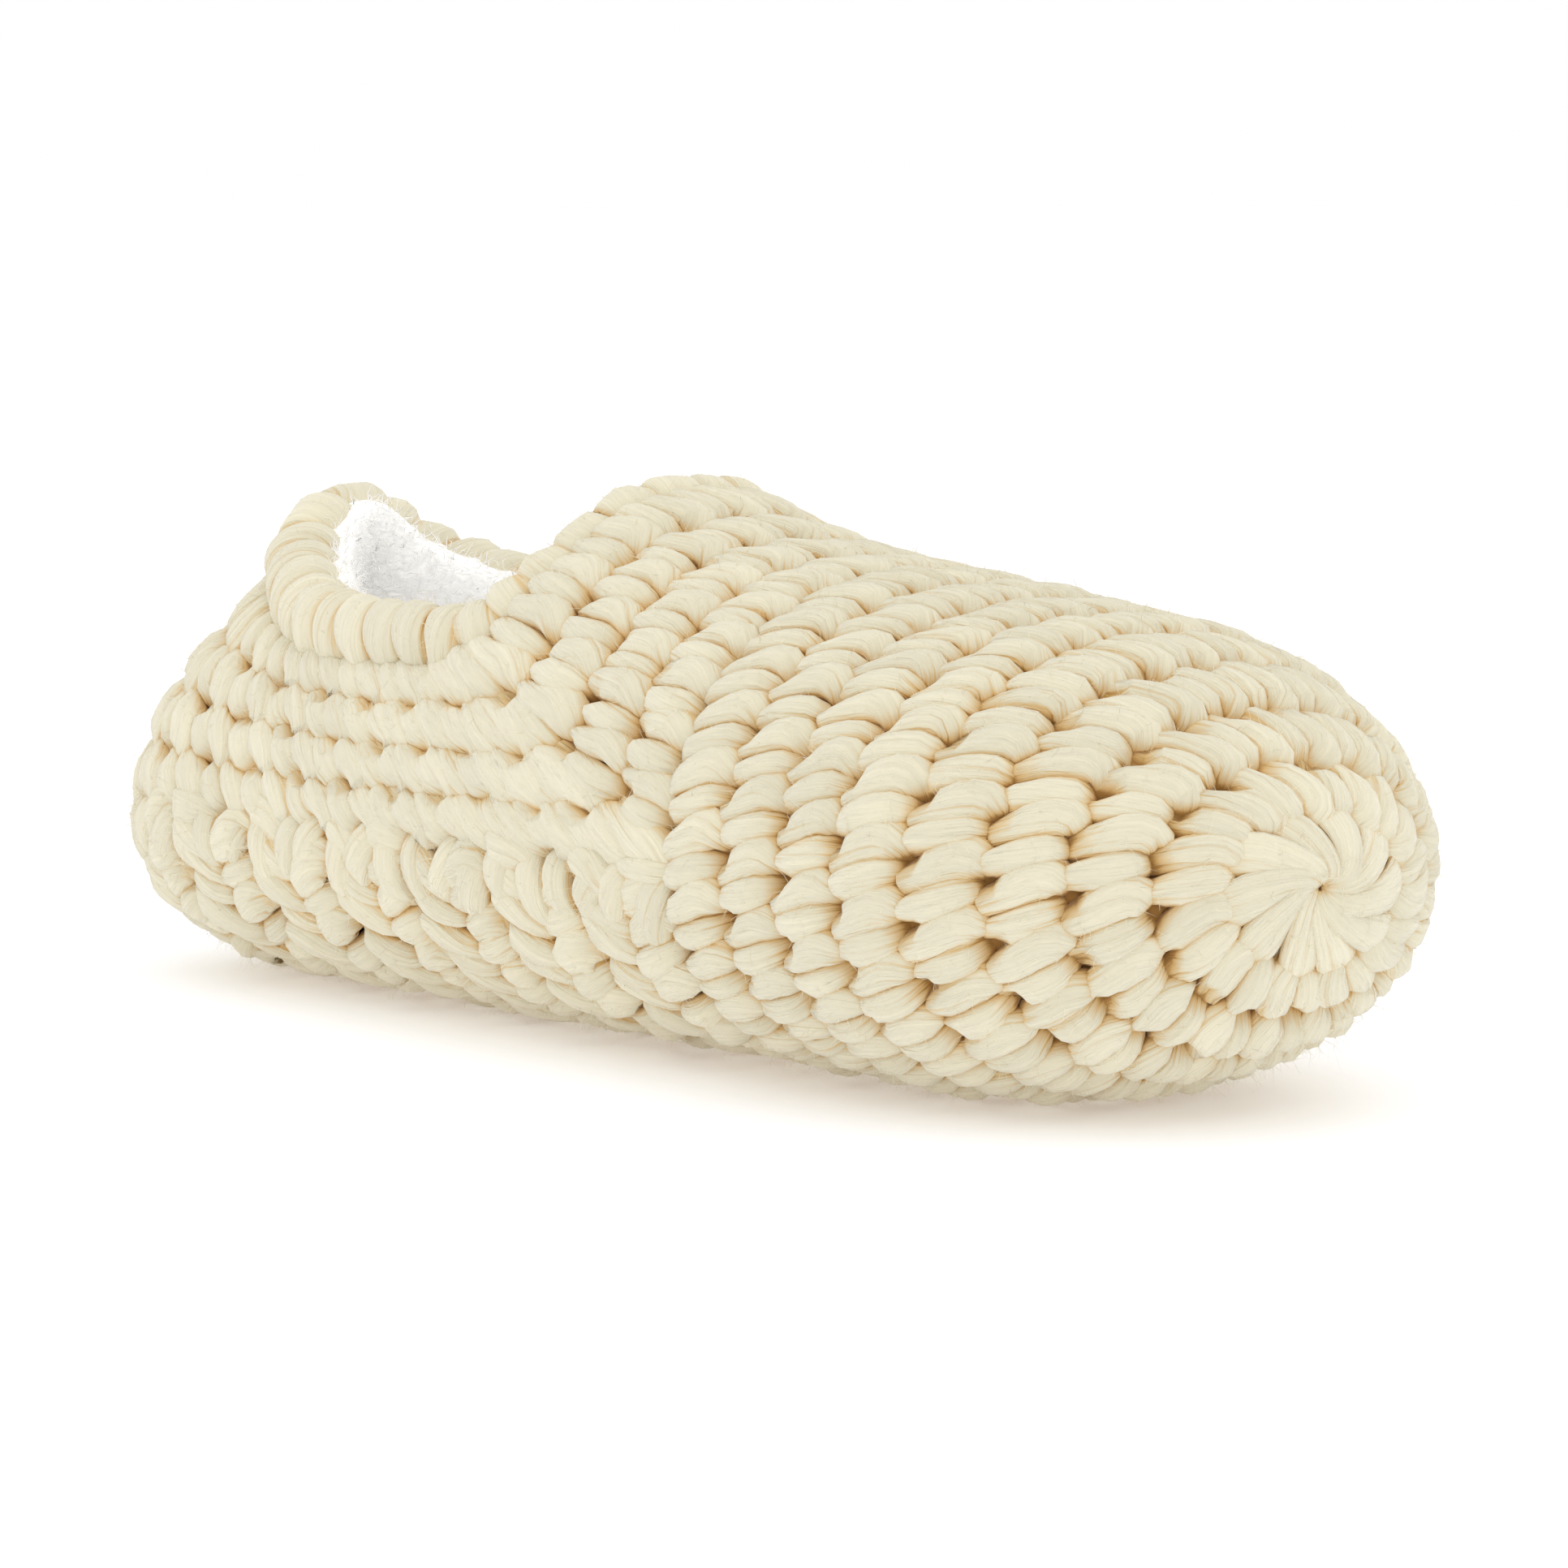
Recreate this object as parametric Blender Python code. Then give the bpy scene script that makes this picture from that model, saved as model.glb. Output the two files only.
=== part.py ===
"""Slipper sock for either foot, crocheted from thick cream wool.

The upper is worked in rounds: a closed toe, a forefoot tube, and ankle rounds that turn up as the
heel wall. The sole is a cupped flap of flat rows from arch to heel, a wrapped roll edges the opening,
and a fleece insole lies inside. X runs from heel to toe, Y across and Z up, in metres.
"""

import math

import bmesh
import bpy
from mathutils import Vector

# The last, measured over the crests of the stitches
LENGTH = 0.250
HEEL_HALF_WIDTH = 0.041
BALL_HALF_WIDTH = 0.0482
HEEL_HEIGHT = 0.058
INSTEP_HEIGHT = 0.0758
INSTEP_RISE_LENGTH = 0.045
TOE_HEIGHT = 0.0667
HEEL_ROUNDING = 0.0355
TOE_ROUNDING = 0.0515
TOE_SPRING_LENGTH = 0.062
TOE_POWER = 1.7
TOP_POWER = 2.15
UNDER_POWER = 2.1
SETTLING = 0.0015

# Height of the widest line, which is also the seam between heel wall and sole
HEEL_SEAM_HEIGHT = 0.028
ARCH_SEAM_HEIGHT = 0.0303
TOE_TIP_HEIGHT = 0.034

# The crocheted wall and its rows
WALL = 0.006
RIDGE = 0.002
TOE_ROUNDS = 9
ANKLE_ROUNDS = 4
SOLE_ROWS = 12
HEEL_ROWS = 6
JOIN_X = 0.036
FLAT_FADE = 0.012
GAP = 0.0003

# Steps of the meshes
QUARTER_STEPS = 10
SIDE_STEPS = 22
SOLE_STEPS = 8
ROLL_SIDES = 8
THROAT_WRAPS = 8
SIDE_WRAPS = 14
ROLL_GROOVE = 0.12

# Centre line of the collar roll on the -Y side, from the throat back to the heel tab:
# x, y, z and the radius of the roll
COLLAR = (
    (-0.0115, 0.0000, 0.0775, 0.0043),
    (-0.0135, -0.0120, 0.0750, 0.0046),
    (-0.0175, -0.0205, 0.0670, 0.0052),
    (-0.0260, -0.0270, 0.0578, 0.0060),
    (-0.0400, -0.0275, 0.0565, 0.0062),
    (-0.0570, -0.0270, 0.0565, 0.0062),
    (-0.0740, -0.0230, 0.0580, 0.0062),
    (-0.0920, -0.0120, 0.0645, 0.0062),
    (-0.0970, 0.0000, 0.0710, 0.0062),
)
COLLAR_CORNER = 3

# The insole
INSOLE_BACK = -0.104
INSOLE_FRONT = 0.092
INSOLE_HALF_WIDTH = 0.030
INSOLE_THICKNESS = 0.004
INSOLE_CLEARANCE = 0.0006
INSOLE_STEPS = 16

# Points inside the foot from which the surface is found
ANKLE_CENTRE = Vector((-0.050, 0.0, 0.030))
HEEL_CENTRE_X = HEEL_ROUNDING - LENGTH / 2

CREAM = (0.78, 0.69, 0.50, 1.0)
PALE_CREAM = (0.82, 0.74, 0.56, 1.0)
WHITE = (0.88, 0.87, 0.84, 1.0)


def clamp(value):
    return min(1.0, max(0.0, value))


def ease(value):
    """Smooth step from 0 to 1."""
    value = clamp(value)
    return value * value * (3 - 2 * value)


def mix(start, end, share):
    return start + (end - start) * share


def across(vector, direction):
    """The vector without its part along the direction."""
    return vector - direction * vector.dot(direction)


def rounding(share, power=2.0):
    """Quarter of a superellipse: 1 where the rounding starts, 0 at its tip."""
    return (1 - clamp(share) ** power) ** (1 / power)


def profile(x):
    """Half width, height of the widest line, top and underside of the last at x."""
    heel = HEEL_CENTRE_X
    toe = LENGTH / 2 - TOE_ROUNDING
    spring = LENGTH / 2 - TOE_SPRING_LENGTH
    heel_end = rounding((heel - x) / HEEL_ROUNDING)
    toe_end = rounding((x - toe) / TOE_ROUNDING, TOE_POWER)
    toe_lift = rounding((x - spring) / TOE_SPRING_LENGTH)
    half_width = mix(HEEL_HALF_WIDTH, BALL_HALF_WIDTH, clamp((x - heel) / (toe - heel)))
    half_width *= heel_end * toe_end
    if x < 0:
        middle = mix(HEEL_SEAM_HEIGHT, ARCH_SEAM_HEIGHT, clamp(1 + 2 * x / LENGTH))
        height = mix(HEEL_HEIGHT, INSTEP_HEIGHT, ease(1 + x / INSTEP_RISE_LENGTH))
    else:
        middle = mix(ARCH_SEAM_HEIGHT, TOE_TIP_HEIGHT, clamp(2 * x / LENGTH) ** 2)
        height = mix(INSTEP_HEIGHT, TOE_HEIGHT, clamp(x / toe))
    top = middle + (height - middle) * heel_end * toe_end
    underside = middle - (middle + SETTLING) * heel_end * toe_lift
    return half_width, middle, top, underside


def last_point(x, angle):
    """Point of the last at x, with the angle from 0 at the top to pi underneath, on the -Y side."""
    half_width, middle, top, underside = profile(x)
    sideways = math.sin(angle)
    upward = math.cos(angle)
    if upward >= 0:
        power = 2 / TOP_POWER
        height = middle + (top - middle) * upward ** power
    else:
        power = 2 / UNDER_POWER
        height = middle - (middle - underside) * (-upward) ** power
    return Vector((x, -half_width * max(0.0, sideways) ** power, max(0.0, height)))


def is_inside(point):
    """True where the point lies inside the last."""
    if abs(point.x) >= LENGTH / 2 or point.z < 0:
        return False
    half_width, middle, top, underside = profile(point.x)
    rise = point.z - middle
    if rise >= 0:
        power = TOP_POWER
        reach = top - middle
    else:
        power = UNDER_POWER
        reach = middle - underside
    return (abs(point.y) / half_width) ** power + (abs(rise) / reach) ** power < 1


def cast(origin, target):
    """Point of the last on the ray from the origin through the target."""
    direction = (target - origin).normalized()
    near = 0.0
    far = LENGTH
    for _ in range(40):
        middle = (near + far) / 2
        if is_inside(origin + direction * middle):
            near = middle
        else:
            far = middle
    return origin + direction * near


def collar_lines():
    """Fine points of the collar's centre line, as (place, radius), for the throat and the side."""
    rows = [Vector((x, y, z, radius)) for x, y, z, radius in COLLAR]
    mirror = Vector((1, -1, 1, 1))
    rows = [rows[1] * mirror] + rows + [rows[-2] * mirror]
    fine = []
    corner = 0
    for index in range(1, len(rows) - 2):
        before, start, end, after = rows[index - 1:index + 3]
        if index - 1 == COLLAR_CORNER:
            corner = len(fine)
        for step in range(24):
            share = step / 24
            bend = 2 * before - 5 * start + 4 * end - after
            twist = 3 * start - before - 3 * end + after
            fine.append(start + ((end - before) * share + bend * share ** 2 + twist * share ** 3) / 2)
    fine.append(rows[-2])
    return fine[:corner + 1], fine[corner:]


def spaced(line, count):
    """Points at equal steps along a fine line, each with its direction."""
    lengths = [0.0]
    for start, end in zip(line, line[1:]):
        lengths.append(lengths[-1] + (end - start).xyz.length)
    result = []
    place = 0
    for index in range(count + 1):
        wanted = lengths[-1] * index / count
        while place < len(line) - 2 and lengths[place + 1] < wanted:
            place += 1
        share = (wanted - lengths[place]) / (lengths[place + 1] - lengths[place])
        direction = (line[place + 1] - line[place]).xyz.normalized()
        result.append((line[place].lerp(line[place + 1], share), direction))
    return result


def collar_stations(throat_count, side_count):
    """Stations along the whole half collar, from the throat to the heel tab."""
    throat, side = collar_lines()
    stations = spaced(throat, throat_count)[:-1] + spaced(side, side_count)
    stations[0] = (stations[0][0], Vector((0, -1, 0)))
    stations[-1] = (stations[-1][0], Vector((0, 1, 0)))
    return stations


def seam_line(back, front, count):
    """Points of the widest line at equal steps from the front x to the back x."""
    fine = []
    for index in range(401):
        share = math.sin(math.pi / 2 * index / 400)
        fine.append(last_point(mix(front, back, share), math.pi / 2).to_4d())
    return [station.xyz for station, _ in spaced(fine, count)]


def round_stations():
    """x of each valley and crest of the toe rounds, from the join to the last crest before the tip."""
    fine = []
    for index in range(801):
        x = mix(JOIN_X, LENGTH / 2, math.sin(math.pi / 2 * index / 800))
        half_width, _, top, underside = profile(x)
        fine.append(Vector((x, (half_width + (top - underside) / 2) / 2, 0, 0)))
    return [station.x for station, _ in spaced(fine, 2 * TOE_ROUNDS)[:-1]]


def grid_normals(points, centre_x):
    """Outward normal at each point of a grid, kept in the mirror plane on its edge."""
    normals = []
    rows = len(points)
    columns = len(points[0])
    for i in range(rows):
        line = []
        for j in range(columns):
            down = points[min(i + 1, rows - 1)][j] - points[max(i - 1, 0)][j]
            along = points[i][min(j + 1, columns - 1)] - points[i][max(j - 1, 0)]
            normal = down.cross(along)
            point = points[i][j]
            if abs(point.y) < 1e-6:
                normal.y = 0
            outward = point - Vector((max(HEEL_CENTRE_X, min(centre_x, point.x)), 0, 0.030))
            if normal.length < 1e-12:
                normal = outward.copy()
            if normal.dot(outward) < 0:
                normal.negate()
            line.append(normal.normalized())
        normals.append(line)
    return normals


def squared(normals, axis):
    """Normals turned square to an axis, so that two pieces meet face to face."""
    result = []
    for normal in normals:
        turned = normal.copy()
        turned[axis] = 0
        result.append(turned.normalized())
    return result


def pressed(point):
    """Share of the ridge that is left near the floor, where the wool is pressed flat."""
    return ease(point.z / FLAT_FADE)


def add_layers(mesh, points, normals, is_valley):
    """Outer vertices with valleys sunk in, and inner vertices one wall below them."""
    outer = []
    inner = []
    for i, line in enumerate(points):
        outer_line = []
        inner_line = []
        for j, point in enumerate(line):
            sunk = RIDGE * pressed(point) if is_valley(i, j) else 0.0
            outer_line.append(mesh.verts.new(point - normals[i][j] * sunk))
            inner_line.append(mesh.verts.new(point - normals[i][j] * (RIDGE + WALL)))
        outer.append(outer_line)
        inner.append(inner_line)
    return outer, inner


def add_face(mesh, corners):
    """Face through the corners, without repeats."""
    kept = list(dict.fromkeys(corners))
    if len(kept) > 2:
        mesh.faces.new(kept)


def add_skin(mesh, grid, facing):
    """Faces of a grid of vertices; facing 1 or -1 picks their side."""
    for upper_line, lower_line in zip(grid, grid[1:]):
        for j in range(len(upper_line) - 1):
            corners = [upper_line[j], upper_line[j + 1], lower_line[j + 1], lower_line[j]]
            add_face(mesh, corners[::facing])


def add_rim(mesh, outer_edge, inner_edge, facing):
    """Faces that join an outer edge to an inner edge."""
    add_skin(mesh, [outer_edge, inner_edge], facing)


def wool(name, colour, roughness):
    material = bpy.data.materials.new(name)
    material.use_nodes = True
    shader = material.node_tree.nodes["Principled BSDF"]
    shader.inputs["Base Color"].default_value = colour
    shader.inputs["Roughness"].default_value = roughness
    shader.inputs["Metallic"].default_value = 0.0
    return material


def add_object(name, mesh, material, parent):
    """Object from a half mesh, mirrored across the foot's middle plane."""
    data = bpy.data.meshes.new(name)
    mesh.to_mesh(data)
    mesh.free()
    item = bpy.data.objects.new(name, data)
    bpy.context.collection.objects.link(item)
    item.data.materials.append(material)
    item.parent = parent
    mirror = item.modifiers.new("Mirror", "MIRROR")
    mirror.use_axis = (False, True, False)
    mirror.use_clip = True
    mirror.use_mirror_merge = True
    mirror.merge_threshold = 0.00002
    return item


def ankle_points():
    """Grid of the ankle rounds from the collar's edge to the join and seam, and its edge's normals."""
    stations = collar_stations(QUARTER_STEPS, SIDE_STEPS)
    lower = [last_point(JOIN_X, math.pi / 2 * j / QUARTER_STEPS) for j in range(QUARTER_STEPS)]
    lower += seam_line(-LENGTH / 2, JOIN_X, SIDE_STEPS)
    rows = [[] for _ in range(2 * ANKLE_ROUNDS + 1)]
    edge_normals = []
    for (station, direction), end in zip(stations, lower):
        centre = station.xyz
        inside = Vector((centre.x, 0, ANKLE_CENTRE.z))
        aim = across(end - centre, direction)
        surface = cast(inside, centre + aim * 0.25)
        inward = (inside - surface).normalized()
        down = across(surface + inward * (RIDGE + WALL / 2) - centre, direction).normalized()
        outward = direction.cross(down)
        if outward.dot(centre - ANKLE_CENTRE) < 0:
            outward.negate()
        edge_normals.append(outward)
        start = centre + down * (station.w + 2 * GAP) + outward * (WALL / 2 + RIDGE)
        middle = cast(ANKLE_CENTRE, start.lerp(end, 0.5))
        for i, row in enumerate(rows):
            share = i / (2 * ANKLE_ROUNDS)
            first = (1 - share) * (1 - 2 * share)
            second = 4 * share * (1 - share)
            third = share * (2 * share - 1)
            row.append(start * first + middle * second + end * third)
    return rows, edge_normals


def make_upper(parent):
    """Toe, forefoot tube and heel wall as one hollow wall."""
    mesh = bmesh.new()
    angles = [math.pi * j / (2 * QUARTER_STEPS) for j in range(2 * QUARTER_STEPS + 1)]
    tube = [[last_point(x, angle) for angle in angles] for x in round_stations()]
    ankle, edge_normals = ankle_points()

    def is_valley(i, _):
        return i % 2 == 0

    tube_normals = grid_normals(tube, JOIN_X)
    tube_normals[0] = squared(tube_normals[0], 0)
    outer, inner = add_layers(mesh, tube, tube_normals, is_valley)
    tip = Vector((LENGTH / 2, 0, TOE_TIP_HEIGHT))
    outer.append([mesh.verts.new(tip - Vector((RIDGE, 0, 0)))] * len(tube[0]))
    inner.append([mesh.verts.new(tip - Vector((RIDGE + WALL, 0, 0)))] * len(tube[0]))

    ankle_normals = grid_normals(ankle, JOIN_X)
    ankle_normals[0] = edge_normals
    ankle_outer, ankle_inner = add_layers(mesh, ankle[:-1], ankle_normals[:-1], is_valley)
    seam = ankle[-1][QUARTER_STEPS + 1:]
    seam_normals = squared(ankle_normals[-1][QUARTER_STEPS + 1:], 2)
    seam_outer, seam_inner = add_layers(mesh, [seam], [seam_normals], is_valley)
    ankle_outer.append(outer[0][:QUARTER_STEPS + 1] + seam_outer[0])
    ankle_inner.append(inner[0][:QUARTER_STEPS + 1] + seam_inner[0])

    add_skin(mesh, outer, 1)
    add_skin(mesh, inner, -1)
    add_skin(mesh, ankle_outer, 1)
    add_skin(mesh, ankle_inner, -1)
    add_rim(mesh, ankle_outer[0], ankle_inner[0], -1)
    add_rim(mesh, ankle_outer[-1][QUARTER_STEPS:], ankle_inner[-1][QUARTER_STEPS:], 1)
    add_rim(mesh, outer[0][QUARTER_STEPS:], inner[0][QUARTER_STEPS:], -1)
    return add_object("upper", mesh, wool("upper_wool", CREAM, 0.95), parent)


def make_sole(parent):
    """Cupped flap of flat rows from the arch to the heel."""
    mesh = bmesh.new()
    front = JOIN_X - GAP
    edge = seam_line(HEEL_CENTRE_X, front, 2 * SOLE_ROWS)
    edge += seam_line(-LENGTH / 2, HEEL_CENTRE_X, 2 * HEEL_ROWS)[1:]
    columns = []
    for point in edge:
        origin = Vector((max(point.x, HEEL_CENTRE_X), 0, point.z))
        outward = (point - origin).normalized()
        line = [point - Vector((0, 0, GAP))]
        for step in range(1, SOLE_STEPS):
            angle = math.pi / 2 * step / SOLE_STEPS
            below = cast(origin, origin + outward * math.cos(angle) - Vector((0, 0, math.sin(angle))))
            line.append(below)
        line.append(Vector((origin.x, 0, 0)))
        columns.append(line)

    def is_valley(i, _):
        return i % 2 == 0

    normals = grid_normals(columns, front)
    normals[0] = squared(normals[0], 0)
    for line in normals:
        line[0] = squared(line[:1], 2)[0]
    outer, inner = add_layers(mesh, columns, normals, is_valley)
    fan = 2 * SOLE_ROWS
    for line in outer[fan + 1:] + inner[fan + 1:]:
        mesh.verts.remove(line[-1])
    for layer in (outer, inner):
        for line in layer[fan + 1:]:
            line[-1] = layer[fan][-1]
    add_skin(mesh, outer, -1)
    add_skin(mesh, inner, 1)
    add_rim(mesh, [line[0] for line in outer], [line[0] for line in inner], -1)
    add_rim(mesh, outer[0], inner[0], 1)
    return add_object("sole", mesh, wool("sole_wool", CREAM, 0.95), parent)


def make_collar_roll(parent):
    """Wrapped roll round the opening, thinner over the throat."""
    mesh = bmesh.new()
    rings = []
    for index, (station, direction) in enumerate(collar_stations(2 * THROAT_WRAPS, 2 * SIDE_WRAPS)):
        groove = 1 - ROLL_GROOVE * (index % 2)
        upward = (Vector((0, 0, 1)) - direction * direction.z).normalized()
        sideways = direction.cross(upward)
        ring = []
        for side in range(ROLL_SIDES):
            turn = 2 * math.pi * side / ROLL_SIDES
            spoke = upward * math.cos(turn) + sideways * math.sin(turn)
            ring.append(mesh.verts.new(station.xyz + spoke * station.w * groove))
        rings.append(ring + ring[:1])
    add_skin(mesh, rings, 1)
    return add_object("collar_roll", mesh, wool("collar_wool", PALE_CREAM, 0.95), parent)


def make_insole(parent):
    """Fleece footbed that follows the inside of the bottom."""
    mesh = bmesh.new()
    middle = (INSOLE_BACK + INSOLE_FRONT) / 2
    reach = (INSOLE_FRONT - INSOLE_BACK) / 2
    points = []
    for i in range(1, INSOLE_STEPS):
        share = -math.cos(math.pi * i / INSOLE_STEPS)
        x = middle + reach * share
        half_width = INSOLE_HALF_WIDTH * rounding(abs(share), 3.0)
        line = []
        for j in range(5):
            y = -half_width * j / 4
            last_half_width, height, _, underside = profile(x)
            depth = (height - underside) * rounding(-y / last_half_width, UNDER_POWER)
            line.append(Vector((x, y, max(0.0, height - depth))))
        points.append(line)
    normals = grid_normals(points, JOIN_X)
    bottom = RIDGE + WALL + INSOLE_CLEARANCE
    layers = []
    for depth in (bottom, bottom + INSOLE_THICKNESS):
        layer = []
        for line, line_normals in zip(points, normals):
            layer.append([mesh.verts.new(p - n * depth) for p, n in zip(line, line_normals)])
        layers.append(layer)
    lower, upper = layers
    add_skin(mesh, lower, -1)
    add_skin(mesh, upper, 1)
    outline_lower = lower[0] + [line[-1] for line in lower[1:-1]] + lower[-1][::-1]
    outline_upper = upper[0] + [line[-1] for line in upper[1:-1]] + upper[-1][::-1]
    add_rim(mesh, outline_lower, outline_upper, 1)
    return add_object("insole", mesh, wool("insole_fleece", WHITE, 0.9), parent)


def main():
    for item in list(bpy.data.objects):
        bpy.data.objects.remove(item)
    slipper = bpy.data.objects.new("slipper", None)
    bpy.context.collection.objects.link(slipper)
    make_upper(slipper)
    make_sole(slipper)
    make_collar_roll(slipper)
    make_insole(slipper)


main()
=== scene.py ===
"""Slipper sock in thick cream wool, with its crocheted rounds, wrapped collar and fleece lining."""

import math

import bpy
import numpy as np
from mathutils import Matrix, Vector


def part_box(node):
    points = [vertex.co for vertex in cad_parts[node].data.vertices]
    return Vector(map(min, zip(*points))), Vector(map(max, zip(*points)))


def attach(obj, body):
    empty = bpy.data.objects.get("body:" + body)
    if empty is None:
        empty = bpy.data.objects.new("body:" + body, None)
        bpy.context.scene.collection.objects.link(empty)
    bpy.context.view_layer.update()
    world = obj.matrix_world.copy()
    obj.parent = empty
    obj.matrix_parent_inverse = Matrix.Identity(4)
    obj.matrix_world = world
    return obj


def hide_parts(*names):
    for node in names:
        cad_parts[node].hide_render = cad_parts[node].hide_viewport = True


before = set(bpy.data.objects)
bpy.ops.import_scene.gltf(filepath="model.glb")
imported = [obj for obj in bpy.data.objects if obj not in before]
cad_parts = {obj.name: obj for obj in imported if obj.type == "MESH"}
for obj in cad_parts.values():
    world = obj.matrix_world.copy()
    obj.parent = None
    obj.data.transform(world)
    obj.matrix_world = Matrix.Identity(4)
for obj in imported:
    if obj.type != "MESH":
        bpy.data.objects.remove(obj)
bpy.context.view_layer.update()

bl_info = {
    "name": "Slipper Sock",
    "version": (1, 0, 0),
    "blender": (4, 5, 0),
    "location": "View3D > Sidebar > Slipper",
    "description": "Dresses a slipper sock in crocheted wool and sets up its stage",
    "category": "Object",
}

# The last, measured over the crests of the stitches
LENGTH = 0.250
HEEL_HALF_WIDTH = 0.041
BALL_HALF_WIDTH = 0.0482
HEEL_HEIGHT = 0.058
INSTEP_HEIGHT = 0.0758
INSTEP_RISE_LENGTH = 0.045
TOE_HEIGHT = 0.0667
HEEL_ROUNDING = 0.0355
TOE_ROUNDING = 0.0515
TOE_SPRING_LENGTH = 0.062
TOE_POWER = 1.7
TOP_POWER = 2.15
UNDER_POWER = 2.1
SETTLING = 0.0015
HEEL_SEAM_HEIGHT = 0.028
ARCH_SEAM_HEIGHT = 0.0303
TOE_TIP_HEIGHT = 0.034
JOIN_X = 0.036
WALL_EDGE = 0.005
ROLL_SEAT = 0.35

# Centre line of the collar roll on the -Y side, from the throat back to the heel tab:
# x, y, z and the radius of the roll
COLLAR = (
    (-0.0115, 0.0000, 0.0775, 0.0043),
    (-0.0135, -0.0120, 0.0750, 0.0046),
    (-0.0175, -0.0205, 0.0670, 0.0052),
    (-0.0260, -0.0270, 0.0578, 0.0060),
    (-0.0400, -0.0275, 0.0565, 0.0062),
    (-0.0570, -0.0270, 0.0565, 0.0062),
    (-0.0740, -0.0230, 0.0580, 0.0062),
    (-0.0920, -0.0120, 0.0645, 0.0062),
    (-0.0970, 0.0000, 0.0710, 0.0062),
)
COLLAR_CORNER = 3
ANKLE_CENTRE = Vector((-0.050, 0.0, 0.030))
HEEL_CENTRE_X = HEEL_ROUNDING - LENGTH / 2
TOE_CENTRE = Vector((LENGTH / 2 - TOE_ROUNDING, 0, TOE_TIP_HEIGHT))
TIP_TURN = math.radians(-7)

# Rows of crochet, and how finely their surfaces are sampled
TOE_ROUNDS = 9
ANKLE_ROUNDS = 4
SOLE_ROWS = 12
HEEL_ROWS = 6
FINE = 8
RING_COLUMNS = 180
THROAT_COLUMNS = 30
SIDE_COLUMNS = 66
SOLE_COLUMNS = 81

# One stitch: two strands that cross the row and meet in the hole at its foot, each with
# share of the stitch along the row, share of the row across it, depth, and half width in stitches
CROSSING = (
    (-0.47, -0.64, 0.0040, 0.15),
    (-0.41, -0.44, 0.0009, 0.22),
    (-0.26, -0.06, -0.0001, 0.285),
    (-0.09, 0.26, 0.0005, 0.25),
    (-0.02, 0.47, 0.0036, 0.14),
)
HOOK = (
    (-0.10, -0.65, 0.0040, 0.16),
    (0.00, -0.47, 0.0009, 0.225),
    (0.20, -0.14, 0.0000, 0.285),
    (0.41, 0.15, -0.0002, 0.315),
    (0.40, 0.39, 0.0007, 0.285),
    (0.15, 0.51, 0.0040, 0.16),
)

# How far each round or row starts after the one before it, in stitches, how much longer and more
# crowded stitches get on the ankle, and how long, uneven and small they may be on the sole
ROUND_SHIFT = 0.22
SOLE_SHIFT = 0.37
ANKLE_STRETCH = 1.14
ANKLE_CROWD = 0.14
SOLE_STRETCH = 1.2
SOLE_LOOSENESS = 2.2
SOLE_SMALLEST = 0.34

# The hole at the foot of a stitch: its share of the stitch, its sizes, and how much painted shade darkens it
HOLE_SHARE = 0.05
HOLE_REACH = 0.54
HOLE_RADIUS = 0.0015
HOLE_DEPTH = 0.0034
HOLE_FLOOR = 0.0062
HOLE_SHADE = 0.78
HOLE_LOWEST = 0.009

# Petal of the closing round, in the same columns
PETAL = (
    (-0.55, -0.80, 0.0034, 0.76),
    (-0.25, -0.46, 0.0007, 0.80),
    (0.20, -0.08, 0.0000, 0.58),
    (0.85, 0.20, 0.0006, 0.48),
    (1.90, 0.42, 0.0034, 0.44),
)
PETALS = 10

# The strands, and the pitch and row depth below which they get thinner
STRAND_POINTS = 11
STRAND_SIDES = 14
WRAP_POINTS = 28
PLIES = 4
PLY_TWIST = 0.3
WIDEST_HALF = 0.0044
FULL_PITCH = 0.0085
FULL_ROW = 0.0075
TAPER_DEPTH = 0.0042
DEEPEST = 0.0060
FLOOR = 0.0003

# Lengths that the wool's colour goes by: how deep a crevice is for its painted shade to be full, and one step
# along a fibre
COVER_DEPTH = 0.0046
FIBRE_STEP = 0.004

# Depths under the crests of the ground behind the stitches, a sheet coloured as painted shade that shows in
# the holes, and of the fleece
GROUND = (0.0048, 0.0054)
FLEECE_DEPTH = 0.0056
FLEECE_BUMPS = 0.0003

# Stitches of the seam: how many there are for each row of the sole, and their sizes
SEAM_RATE = 1.5
SEAM_REACH = (0.0095, 0.0150)
SEAM_HALF_WIDTH = 0.0031
SEAM_START = 0.0012
SEAM_RISE = 0.0006
SEAM_SINK = 0.0030

# Wraps of the collar: their sizes as shares of the roll and of the pitch, and how they bow and slant
WRAP_THICKNESS = 0.50
WRAP_HALF_WIDTH = 0.55
WRAP_BOW = 0.0022
WRAP_SLANT = 0.0008
HEEL_WIDENING = 0.3

# Fleece edge: angle and rise where it starts on the roll, steps round it and down, and its drops
EDGE_START = 48
EDGE_TURN_STEPS = 8
EDGE_FALL_STEPS = 10
EDGE_RISE = (-0.0008, 0.0018)
EDGE_DROP = (0.007, 0.018)
EDGE_THICKNESS = 0.0016

INSOLE_RISE = 0.0092
INSOLE_THICKNESS = 0.0036
INSOLE_BUMPS = 0.0004

# Single fibres: length, radius and glow (painted light) on the wool and on the fleece
FUZZ = (0.0034, 0.00003, 0.13)
PILE = (0.0030, 0.00009, 0.14)
ROOT_DEPTH = 0.0004

# What the camera turns about, and where it aims beside that
TARGET = Vector((0, 0, 0.038))
AIM_RIGHT = 0.006
AIM_DOWN = 0.0014


def colour_property(name, description, default):
    return bpy.props.FloatVectorProperty(
        name=name, description=description, subtype="COLOR", size=3, min=0.0, max=1.0, default=default)


def length_property(name, description, low, high, default):
    return bpy.props.FloatProperty(
        name=name, description=description, unit="LENGTH", min=low, max=high, default=default)


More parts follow.
